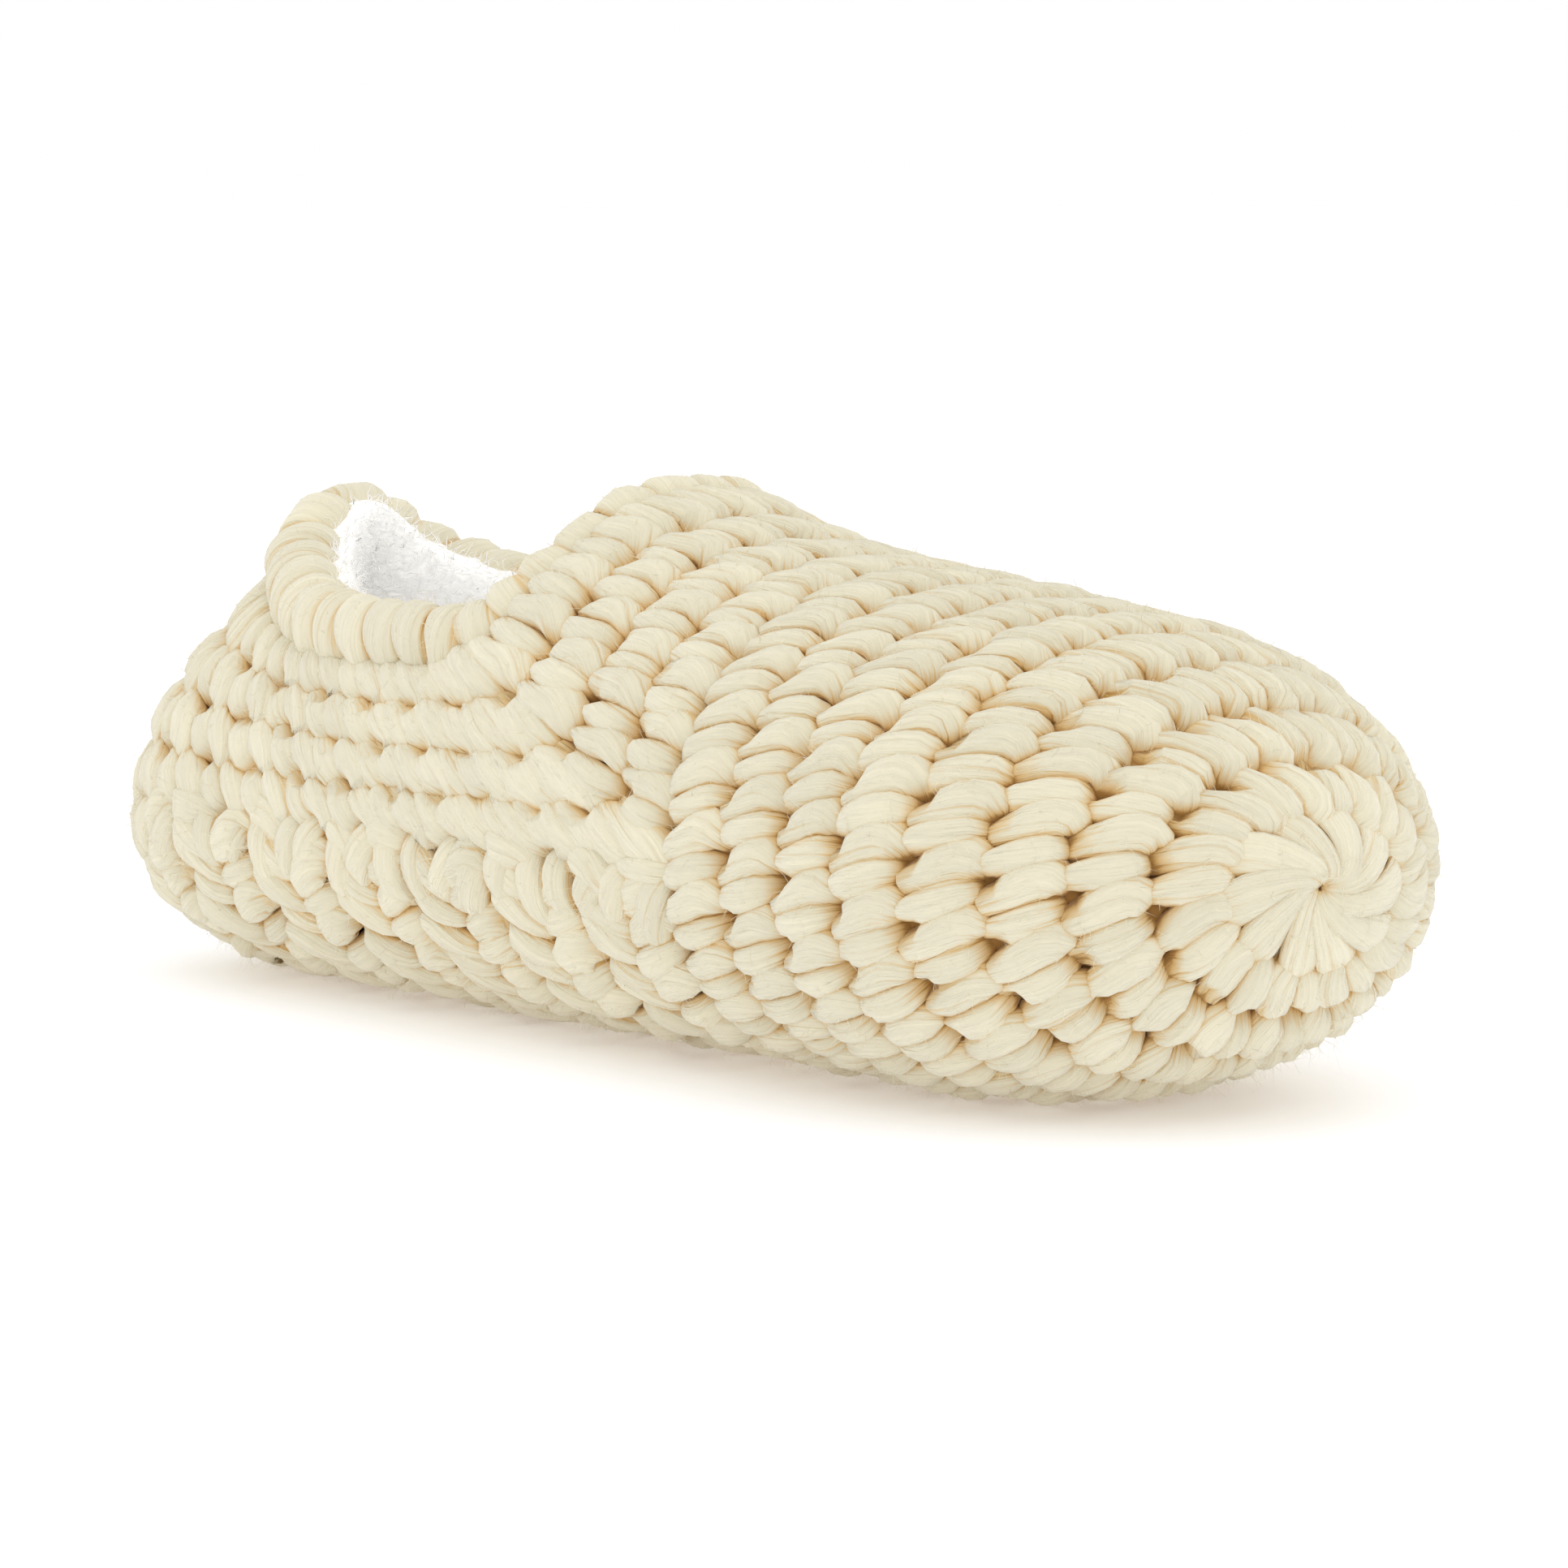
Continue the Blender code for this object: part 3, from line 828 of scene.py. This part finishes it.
def wool_material():
    """Lightly twisted wool: fibres along the strand, painted shade in the crevices and holes, a soft sheen.
    """
    known = bpy.data.materials.get("cream_wool")
    if known:
        return known
    yarn = bpy.context.scene.slipper_yarn
    wool = Shading("cream_wool")
    fibre = wool.attribute("fibre", "Vector")
    cover = wool.attribute("cover", "Fac")
    tint = wool.attribute("tint", "Fac")

    streaks = []
    for scale in ((0.14, 3.0, 3.0), (0.40, 8.0, 8.0)):
        stretched = wool.add("Mapping", "Vector", Vector=fibre, Scale=scale)
        streaks.append(wool.add("TexNoise", "Fac", Vector=stretched, Scale=1.0, Detail=3.0,
                                Roughness=0.6, Distortion=0.3))
    fine = wool.add("Mix", "Result", Factor=0.4, A=streaks[0], B=streaks[1])
    place = wool.add("TexCoord", "Object")
    patches = wool.add("TexNoise", "Fac", Vector=place, Scale=70.0, Detail=2.0)

    # Painted shade: where other strands of the piece lie close (ambient occlusion), the wool is pushed
    # towards the crevice colours, on top of the painted shade from depth and holes.
    nearby = wool.tree.nodes.new("ShaderNodeAmbientOcclusion")
    nearby.samples = 6
    nearby.only_local = True
    nearby.inputs["Distance"].default_value = 0.0016
    line = wool.ranged(fine, (0.36, 0.48), (-0.42, 0.0))
    crease_shade = wool.ranged(nearby.outputs["AO"], (0.35, 0.90), (-0.40, 0.0))
    level = wool.add("Math", "Value", cover, line, operation="ADD")
    level = wool.add("Math", "Value", level, crease_shade, operation="ADD")
    # The ramp paints shade: from the hole colour through the crevice colour and a half shade to cream on the
    # crests.
    half_shade = [mix(low, high, 0.50) for low, high in zip(yarn.crevice_shade, yarn.cream)]
    stops = ((0.0, yarn.hole_shade), (0.22, yarn.crevice_shade), (0.50, half_shade), (0.74, yarn.cream))
    depth = wool.ramp(level, stops)

    shade = wool.ranged(fine, (0.3, 0.7), (0.91, 1.05))
    strand = wool.ranged(tint, (0.0, 1.0), (0.97, 1.02))
    wide = wool.ranged(patches, (0.0, 1.0), (0.96, 1.03))
    shade = wool.add("Math", "Value", shade, strand, operation="MULTIPLY")
    shade = wool.add("Math", "Value", shade, wide, operation="MULTIPLY")
    colour = wool.add("VectorMath", "Vector", depth, operation="SCALE", Scale=shade)
    bumps = wool.add("Bump", "Normal", Height=fine, Strength=0.75, Distance=0.0009)
    wool.feed(wool.shader, Base_Color=colour, Normal=bumps, Roughness=0.95, Diffuse_Roughness=0.8,
              Specular_IOR_Level=0.12, Sheen_Weight=0.30, Sheen_Roughness=0.45,
              Sheen_Tint=(1.0, 0.95, 0.85, 1.0))
    return wool.material


def fleece_material():
    """White fleece with a short curly pile that leans upward, and a painted glow."""
    known = bpy.data.materials.get("white_fleece")
    if known:
        return known
    white = bpy.context.scene.slipper_yarn.fleece
    fleece = Shading("white_fleece")
    place = fleece.add("TexCoord", "Object")
    curls = fleece.add("TexNoise", "Fac", Vector=place, Scale=420.0, Detail=5.0, Roughness=0.6,
                       Distortion=1.2)
    shade = fleece.ramp(curls, ((0.25, [0.78 * value for value in white]), (0.65, white)))
    bumps = fleece.add("Bump", "Normal", Height=curls, Strength=0.7, Distance=0.0012)
    lean = fleece.add("VectorMath", "Vector", bumps, (0.0, 0.0, 0.9), operation="ADD")
    nap = fleece.add("VectorMath", "Vector", lean, operation="NORMALIZE")
    # Emission is painted light: the fleece glows so that it looks bright in the shade inside the opening.
    fleece.feed(fleece.shader, Base_Color=shade, Normal=nap, Roughness=1.0, Specular_IOR_Level=0.08,
                Sheen_Weight=0.4, Sheen_Roughness=0.5,
                Emission_Color=(1.0, 0.98, 0.94, 1), Emission_Strength=0.28)
    return fleece.material


def fibre_material(name, colour, glow):
    """Single fibres with a painted glow: their emission stands in for light shining through them, so they
    never look darker than the wool.
    """
    fibre = Shading(name)
    fibre.feed(fibre.shader, Base_Color=(*colour, 1), Roughness=1.0, Specular_IOR_Level=0.08,
               Emission_Color=(*colour, 1), Emission_Strength=glow)
    return fibre.material


def finish_wool(skein, patch, columns, name, slot, node):
    """Makes a piece of the stitches and the ground behind them, a sheet in painted shade."""
    skein.open_holes()
    skein.add_shell(patch, *GROUND, FINE // 2, columns)
    finish_piece(skein.make(name, wool_material()), slot, node)


class SLIPPER_OT_toe_rounds(bpy.types.Operator):
    """Work the rounds of the toe and the forefoot"""

    bl_idname = "slipper.toe_rounds"
    bl_label = "Toe Rounds"

    def execute(self, context):
        patch = toe_patch()
        skein = Skein(11)
        length = context.scene.slipper_yarn.stitch_length
        for row in range(TOE_ROUNDS):
            count = round(patch.row_length((row + 0.5) * FINE) / length)
            strands = (CROSSING, HOOK)
            if row == TOE_ROUNDS - 1:
                count = PETALS
                strands = (PETAL,)
            holes = row < TOE_ROUNDS - 2
            add_stitches(skein, patch, row, count, ROUND_SHIFT * row, 1, strands, holes=holes)
        finish_wool(skein, patch, 3, "toe_rounds", "upper_wool", "upper")
        return {"FINISHED"}


class SLIPPER_OT_ankle_rounds(bpy.types.Operator):
    """Work the rounds that run round the ankle, from the collar to the seam"""

    bl_idname = "slipper.ankle_rounds"
    bl_label = "Ankle Rounds"

    def execute(self, context):
        patch = ankle_patch()
        skein = Skein(23)
        length = context.scene.slipper_yarn.stitch_length
        for row in range(ANKLE_ROUNDS):
            count = round(patch.row_length((row + 0.5) * FINE) / (ANKLE_STRETCH * length))
            add_stitches(skein, patch, row, count, ROUND_SHIFT * row, crowd=ANKLE_CROWD)
        finish_wool(skein, patch, 3, "ankle_rounds", "upper_wool", "upper")
        return {"FINISHED"}


class SLIPPER_OT_sole_rows(bpy.types.Operator):
    """Work the flat rows of the sole and the stitches along its seam"""

    bl_idname = "slipper.sole_rows"
    bl_label = "Sole Rows"

    def execute(self, context):
        patch = sole_patch()
        skein = Skein(37)
        length = context.scene.slipper_yarn.stitch_length
        rows = SOLE_ROWS + HEEL_ROWS
        for row in range(rows):
            count = max(6, round(patch.row_length((row + 0.5) * FINE) / (SOLE_STRETCH * length)))
            facing = 1 if row % 2 else -1
            add_stitches(skein, patch, row, count, SOLE_SHIFT * row, facing, least=SOLE_SMALLEST,
                         loose=SOLE_LOOSENESS, holes=facing > 0)
        skein.open_holes()
        skein.add_shell(patch, *GROUND, FINE // 2, 2)
        self.add_seam(skein, patch, rows)
        piece = skein.make("sole_rows", wool_material())
        finish_piece(piece, "sole_wool", "sole")
        return {"FINISHED"}

    def add_seam(self, skein, patch, rows):
        """Upright stitches that sew the sole to the heel wall."""
        yarn = bpy.context.scene.slipper_yarn
        random = skein.random
        number = round(SEAM_RATE * rows)
        t = np.linspace(0, 1, STRAND_POINTS)[None, :]
        a = 2 * t - 1
        for far in (False, True):
            along = (np.arange(number)[:, None] + 0.5) * FINE / SEAM_RATE
            along = along + random.uniform(-1.0, 1.0, (number, 1))
            lengths = np.array([patch.row_length(row) for row in along[:, 0]])[:, None]
            reach = random.uniform(*SEAM_REACH, (number, 1))
            shares = (t * reach - SEAM_START) / lengths
            if far:
                shares = 1 - shares
            lean = random.uniform(-2.2, 2.2, (number, 1)) + 0.6
            high = yarn.strand_height * random.uniform(0.92, 1.08, (number, 1))
            lifts = -high + SEAM_RISE - SEAM_SINK * np.abs(a) ** 2.4
            heights = high * (1 - 0.45 * np.abs(a) ** 3)
            widths = SEAM_HALF_WIDTH * random.uniform(0.9, 1.1, (number, 1)) * (1 - 0.4 * np.abs(a) ** 3)
            places, ups = patch.read(along + lean * a, shares)
            skein.add_strands(places + ups * lifts[..., None], ups, lifts, widths, heights)


class SLIPPER_OT_collar_wraps(bpy.types.Operator):
    """Wrap the roll round the opening"""

    bl_idname = "slipper.collar_wraps"
    bl_label = "Collar Wraps"

    def execute(self, context):
        yarn = context.scene.slipper_yarn
        skein = Skein(41)
        throat, side = collar_lines()
        half = np.array([tuple(point) for point in throat + side[1:]])
        loop = np.vstack((half, half[-2:0:-1] * (1, -1, 1, 1)))
        closed = np.vstack((loop, loop[:1]))
        steps = np.linalg.norm(np.diff(closed[:, :3], axis=0), axis=1)
        lengths = np.concatenate(([0.0], np.cumsum(steps)))
        number = 2 * round(lengths[-1] / yarn.wrap_pitch / 2) + 1
        wanted = (np.arange(number) + 0.5) * lengths[-1] / number

        def read(places):
            places = places % lengths[-1]
            return np.stack([np.interp(places, lengths, closed[:, axis]) for axis in range(4)], axis=-1)

        middle = read(wanted)
        ahead = unit(read(wanted + 0.002)[:, :3] - read(wanted - 0.002)[:, :3])
        up = unit(np.array((0, 0, 1.0)) - ahead * ahead[:, 2:])
        sideways = np.cross(ahead, up)
        random = skein.random
        turn = np.linspace(0, 2 * np.pi, WRAP_POINTS + 1)[None, :, None] - np.pi / 2
        spoke = up[:, None] * np.sin(turn) + sideways[:, None] * np.cos(turn)
        radius = middle[:, None, 3:] * random.uniform(0.97, 1.05, (number, 1, 1))
        thick = radius * WRAP_THICKNESS
        slant = random.uniform(-WRAP_SLANT, WRAP_SLANT, (number, 1, 1)) + WRAP_SLANT
        bow = -WRAP_BOW * ahead[:, None, :1] * np.cos(turn) + slant * np.sin(turn)
        centres = middle[:, None, :3] + spoke * (radius - thick) + ahead[:, None] * bow
        heel_bend = np.exp(-((wanted - lengths[-1] / 2) / (1.2 * yarn.wrap_pitch)) ** 2)[:, None]
        widths = np.full((number, WRAP_POINTS + 1), yarn.wrap_pitch * WRAP_HALF_WIDTH)
        widths *= random.uniform(0.94, 1.08, (number, 1)) * (1 + HEEL_WIDENING * heel_bend)
        heights = np.broadcast_to(thick[..., 0], widths.shape)
        lifts = -heights
        skein.add_strands(centres, np.broadcast_to(spoke, centres.shape), lifts, widths, heights)
        piece = skein.make("collar_wraps", wool_material())
        finish_piece(piece, "collar_wool", "collar_roll")
        return {"FINISHED"}


class SLIPPER_OT_lining(bpy.types.Operator):
    """Line the inside with fleece, up to the collar's crest"""

    bl_idname = "slipper.lining"
    bl_label = "Lining"

    def execute(self, context):
        depth = context.scene.slipper_yarn.lining_depth
        skein = Skein(53)
        for patch in (toe_patch(), ankle_patch(), sole_patch()):
            columns = 3 if patch.closed else 2
            skein.add_shell(patch, FLEECE_DEPTH, depth, FINE // 2, columns, FLEECE_BUMPS)
        self.add_edge(skein)
        piece = skein.make("lining", fleece_material())
        finish_piece(piece, "insole_fleece")
        return {"FINISHED"}

    def add_edge(self, skein):
        """Edge of the fleece: over the inner side of the roll, then down to the wall."""
        stations = collar_stations(THROAT_COLUMNS, SIDE_COLUMNS)
        drops = [mix(*EDGE_DROP, ease(index / THROAT_COLUMNS)) for index in range(len(stations))]
        rows = []
        normals = []
        for step in range(EDGE_TURN_STEPS + EDGE_FALL_STEPS + 1):
            turn = math.radians(mix(EDGE_START, 90, clamp(step / EDGE_TURN_STEPS)))
            fall = clamp((step - EDGE_TURN_STEPS) / EDGE_FALL_STEPS)
            rise = mix(*EDGE_RISE, ease(step / 5))
            half = []
            spokes = []
            for (station, direction), drop in zip(stations, drops):
                up = across(Vector((0, 0, 1)), direction).normalized()
                inward = direction.cross(up)
                if inward.dot(ANKLE_CENTRE - station.xyz) < 0:
                    inward.negate()
                spoke = up * math.cos(turn) + inward * math.sin(turn)
                point = station.xyz + spoke * (station.w + rise)
                point -= up * drop * fall + inward * drop * 0.6 * fall ** 2
                half.append(point)
                spokes.append((spoke - up * 0.7 * fall).normalized())
            rows.append(whole(half))
            normals.append(whole(spokes))
        patch = Patch(rows, True)
        patch.normals = np.array(normals)
        skein.add_shell(patch, 0.0, EDGE_THICKNESS, 1, 1, FLEECE_BUMPS, 1.0)


class SLIPPER_OT_insole(bpy.types.Operator):
    """Lay the fleece insole"""

    bl_idname = "slipper.insole"
    bl_label = "Insole"

    def execute(self, context):
        low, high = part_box("insole")
        bpy.ops.object.select_all(action="DESELECT")
        bpy.ops.mesh.primitive_grid_add(x_subdivisions=64, y_subdivisions=24, size=2)
        piece = context.object
        piece.name = "insole_pad"
        middle = (low.x + high.x) / 2
        reach = (high.x - low.x) / 2
        half_width = high.y
        random = np.random.default_rng(61)
        for vertex in piece.data.vertices:
            share, side = vertex.co.x, vertex.co.y
            x = middle + reach * math.sin(share * math.pi / 2)
            y = half_width * side * rounding(abs(math.sin(share * math.pi / 2)) * 0.999, 3.0)
            last_half_width, height, _, underside = profile(x)
            depth = (height - underside) * rounding(abs(y) / last_half_width, UNDER_POWER)
            z = max(0.0, height - depth) + INSOLE_RISE + random.uniform(0, INSOLE_BUMPS)
            vertex.co = (x, y, z)
        bpy.ops.object.modifier_add(type="SOLIDIFY")
        piece.modifiers["Solidify"].thickness = INSOLE_THICKNESS
        piece.modifiers["Solidify"].offset = 1.0
        bpy.ops.object.modifier_apply(modifier="Solidify")
        bpy.ops.object.modifier_add(type="SUBSURF")
        piece.modifiers["Subdivision"].levels = 1
        piece.modifiers["Subdivision"].render_levels = 1
        bpy.ops.object.modifier_apply(modifier="Subdivision")
        bpy.ops.object.shade_smooth()
        piece.data.materials.append(fleece_material())
        piece.select_set(False)
        finish_piece(piece, "insole_fleece", "insole")
        return {"FINISHED"}


def raised_points(names, least):
    """Places and normals of the pieces' vertices whose cover is large enough."""
    places = []
    normals = []
    for name in names:
        data = bpy.data.objects[name].data
        count = len(data.vertices)
        place = np.empty(count * 3)
        normal = np.empty(count * 3)
        cover = np.empty(count)
        data.vertices.foreach_get("co", place)
        data.vertices.foreach_get("normal", normal)
        data.attributes["cover"].data.foreach_get("value", cover)
        raised = cover > least
        places.append(place.reshape(-1, 3)[raised])
        normals.append(normal.reshape(-1, 3)[raised])
    return np.concatenate(places), np.concatenate(normals)


def make_fibres(name, names, least, number, longest, radius, seed, material):
    """Piece of thin bent fibres that stand on the raised places of the named pieces."""
    skein = Skein(seed)
    random = skein.random
    places, normals = raised_points(names, least)
    chosen = random.integers(0, len(places), number)
    roots = places[chosen]
    ahead = unit(normals[chosen] * 0.7 + random.normal(0, 1, (number, 3)) * 0.6)
    reach = random.uniform(0.3 * longest, longest, (number, 1))
    bend = random.normal(0, 0.35, (number, 3)) * reach
    aside = unit(np.cross(ahead, (0.31, 0.52, 0.79)))
    third = np.cross(ahead, aside)
    turn = 2 * np.pi * np.arange(3)[None, :, None] / 3
    around = aside[:, None] * np.cos(turn) + third[:, None] * np.sin(turn)
    base = roots[:, None] - ahead[:, None] * ROOT_DEPTH + around * radius
    middle = (roots + ahead * reach * 0.55)[:, None] + around * radius * 0.8
    tip = (roots + ahead * reach + bend)[:, None]
    spikes = np.concatenate((base, middle, tip), axis=1)
    spikes[..., 2] = np.maximum(spikes[..., 2], FLOOR)
    offsets = (np.arange(number) * 7)[:, None, None]
    quads = np.array(((0, 1, 4, 3), (1, 2, 5, 4), (2, 0, 3, 5)))
    ends = np.array(((0, 2, 1), (3, 4, 6), (4, 5, 6), (5, 3, 6)))
    faces = [(quads[None] + offsets).reshape(-1, 4), (ends[None] + offsets).reshape(-1, 3)]
    skein.add(spikes, faces, 1.0, 0.5, 0.0)
    return skein.make(name, material)


class SLIPPER_OT_fuzz(bpy.types.Operator):
    """Raise stray fibres on the wool"""

    bl_idname = "slipper.fuzz"
    bl_label = "Stray Fibres"

    def execute(self, context):
        yarn = context.scene.slipper_yarn
        names = ("toe_rounds", "ankle_rounds", "sole_rows", "collar_wraps")
        longest, radius, glow = FUZZ
        material = fibre_material("wool_fibre", yarn.cream, glow)
        piece = make_fibres("stray_fibres", names, 0.8, yarn.fuzz_count, longest, radius, 71, material)
        finish_piece(piece, "upper_wool")
        return {"FINISHED"}


class SLIPPER_OT_pile(bpy.types.Operator):
    """Raise the pile on the fleece's edge"""

    bl_idname = "slipper.pile"
    bl_label = "Fleece Pile"

    def execute(self, context):
        yarn = context.scene.slipper_yarn
        longest, radius, glow = PILE
        material = fibre_material("fleece_fibre", yarn.fleece, glow)
        piece = make_fibres("fleece_pile", ("lining",), 0.9, yarn.pile_count, longest, radius, 83, material)
        finish_piece(piece, "insole_fleece")
        return {"FINISHED"}


class SLIPPER_OT_stage(bpy.types.Operator):
    """Set the floor, the light and the camera"""

    bl_idname = "slipper.stage"
    bl_label = "Stage"

    def execute(self, context):
        stage = context.scene.slipper_stage
        self.add_floor()
        self.add_light(context, stage)
        self.add_camera(context, stage)
        context.scene.view_settings.view_transform = "Standard"
        return {"FINISHED"}

    def add_floor(self):
        """White floor that glows evenly like a light table, lighting the slipper from below; its warm glow
        under a bluish base keeps it white where lit and gives its shadows a painted warm tint.
        """
        bpy.ops.object.select_all(action="DESELECT")
        bpy.ops.mesh.primitive_plane_add(size=40)
        floor = bpy.context.object
        floor.name = "floor"
        white = Shading("white_floor")
        # Emission is painted light: a warm glow that tints the floor's shadows and lights the slipper from
        # below.
        white.feed(white.shader, Base_Color=(0.87, 0.92, 0.985, 1), Roughness=0.9, Specular_IOR_Level=0.1,
                   Emission_Color=(1.0, 0.87, 0.80, 1), Emission_Strength=0.27)
        floor.data.materials.append(white.material)
        floor.select_set(False)

    def add_light(self, context, stage):
        """Even white room light, and one large soft light above."""
        world = bpy.data.worlds.new("white_room")
        world.use_nodes = True
        nodes = world.node_tree.nodes
        links = world.node_tree.links
        room = nodes["Background"]
        room.inputs["Color"].default_value = (1, 1, 1, 1)
        room.inputs["Strength"].default_value = stage.sky
        seen = nodes.new("ShaderNodeBackground")
        seen.inputs["Color"].default_value = (1, 1, 1, 1)
        path = nodes.new("ShaderNodeLightPath")
        either = nodes.new("ShaderNodeMixShader")
        links.new(path.outputs["Is Camera Ray"], either.inputs["Fac"])
        links.new(room.outputs["Background"], either.inputs[1])
        links.new(seen.outputs["Background"], either.inputs[2])
        links.new(either.outputs["Shader"], nodes["World Output"].inputs["Surface"])
        context.scene.world = world
        lamp = bpy.data.lights.new("key", "SUN")
        lamp.energy = stage.key
        lamp.angle = math.radians(70)
        lamp.color = (1.0, 0.985, 0.96)
        key = bpy.data.objects.new("key", lamp)
        key.rotation_euler = Vector((-0.35, 0.15, -1.0)).to_track_quat("-Z", "Y").to_euler()
        context.collection.objects.link(key)

    def add_camera(self, context, stage):
        """Camera low in front of the slipper's toe and side."""
        away = Vector((math.sin(stage.azimuth) * math.cos(stage.elevation),
                       -math.cos(stage.azimuth) * math.cos(stage.elevation),
                       math.sin(stage.elevation)))
        right = Vector((math.cos(stage.azimuth), math.sin(stage.azimuth), 0))
        aim = TARGET + right * AIM_RIGHT - Vector((0, 0, AIM_DOWN))
        data = bpy.data.cameras.new("camera")
        data.lens = stage.lens
        data.sensor_width = 36.0
        data.clip_start = 0.01
        camera = bpy.data.objects.new("camera", data)
        camera.location = TARGET + away * stage.distance
        camera.rotation_euler = (aim - camera.location).to_track_quat("-Z", "Y").to_euler()
        context.collection.objects.link(camera)
        context.scene.camera = camera


class SLIPPER_PT_panel(bpy.types.Panel):
    """Lists the slipper's pieces"""

    bl_idname = "SLIPPER_PT_panel"
    bl_label = "Slipper Sock"
    bl_space_type = "VIEW_3D"
    bl_region_type = "UI"
    bl_category = "Slipper"

    def draw(self, context):
        for group in (context.scene.slipper_yarn, context.scene.slipper_stage):
            for name in group.__annotations__:
                self.layout.prop(group, name)
        for operator in OPERATORS:
            self.layout.operator(operator.bl_idname)


OPERATORS = (
    SLIPPER_OT_stage,
    SLIPPER_OT_toe_rounds,
    SLIPPER_OT_ankle_rounds,
    SLIPPER_OT_sole_rows,
    SLIPPER_OT_collar_wraps,
    SLIPPER_OT_lining,
    SLIPPER_OT_insole,
    SLIPPER_OT_fuzz,
    SLIPPER_OT_pile,
)


def register():
    for item in (SlipperYarn, SlipperStage) + OPERATORS + (SLIPPER_PT_panel,):
        bpy.utils.register_class(item)
    bpy.types.Scene.slipper_yarn = bpy.props.PointerProperty(type=SlipperYarn)
    bpy.types.Scene.slipper_stage = bpy.props.PointerProperty(type=SlipperStage)


def unregister():
    del bpy.types.Scene.slipper_yarn
    del bpy.types.Scene.slipper_stage
    for item in reversed((SlipperYarn, SlipperStage) + OPERATORS + (SLIPPER_PT_panel,)):
        bpy.utils.unregister_class(item)


def main():
    register()
    bpy.ops.slipper.stage()
    bpy.ops.slipper.toe_rounds()
    bpy.ops.slipper.ankle_rounds()
    bpy.ops.slipper.sole_rows()
    bpy.ops.slipper.collar_wraps()
    bpy.ops.slipper.lining()
    bpy.ops.slipper.insole()
    bpy.ops.slipper.fuzz()
    bpy.ops.slipper.pile()


if __name__ == "__main__":
    main()
